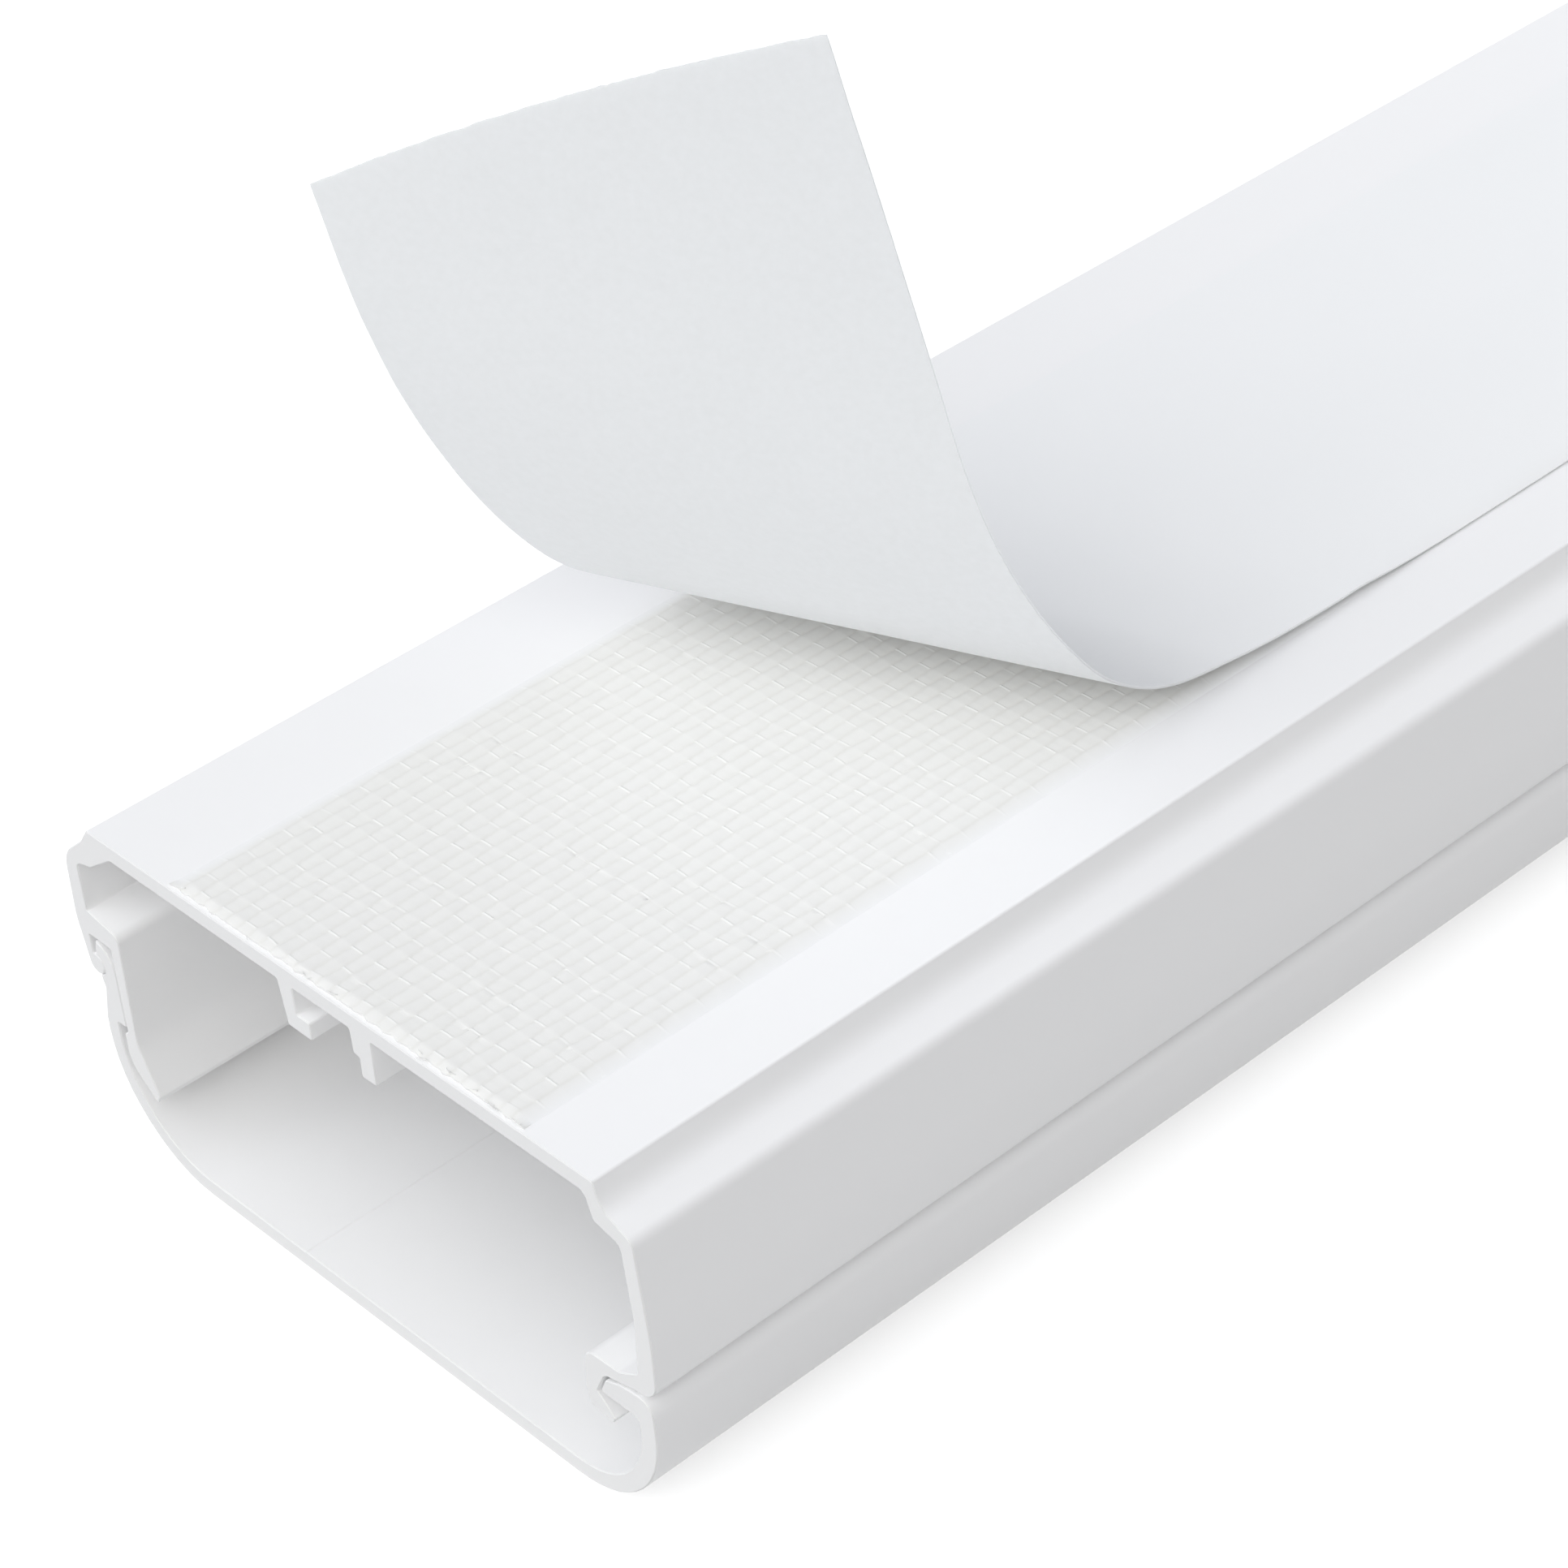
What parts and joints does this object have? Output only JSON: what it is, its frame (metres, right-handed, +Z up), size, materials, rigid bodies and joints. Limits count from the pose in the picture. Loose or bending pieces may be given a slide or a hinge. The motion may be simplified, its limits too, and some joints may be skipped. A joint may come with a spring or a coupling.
{
  "type": "cord cover raceway",
  "caption": "Length of white plastic cord cover: a base channel with woven adhesive tape and a half-peeled paper liner, and a cover that hinges on one edge and latches on the other.",
  "frame": {"origin": "centre of the cover's front face, which lies on the floor, at the middle of the length", "axes": "+X across the section towards the latch, +Y along the length away from the peeled end, +Z up from the cover's front face to the adhesive back"},
  "size_m": [0.0418, 0.4, 0.0572],
  "materials": {
    "base_plastic": "satin white extruded plastic",
    "cover_plastic": "satin white extruded plastic",
    "woven_tape": "woven cloth under a tacky adhesive film",
    "liner_paper": "matte coated paper"
  },
  "bodies": {
    "cover": {"cover": "cover_plastic"},
    "base": {"base_channel": "base_plastic", "adhesive_tape": "woven_tape", "release_liner": "liner_paper"}
  },
  "joints": [
    {"name": "cover_hinge", "type": "hinge", "parent": "cover", "child": "base", "pos_m": [-0.01985, 0, 0.01095], "axis": [0, -1, 0], "range_deg": [0, 90]}
  ]
}
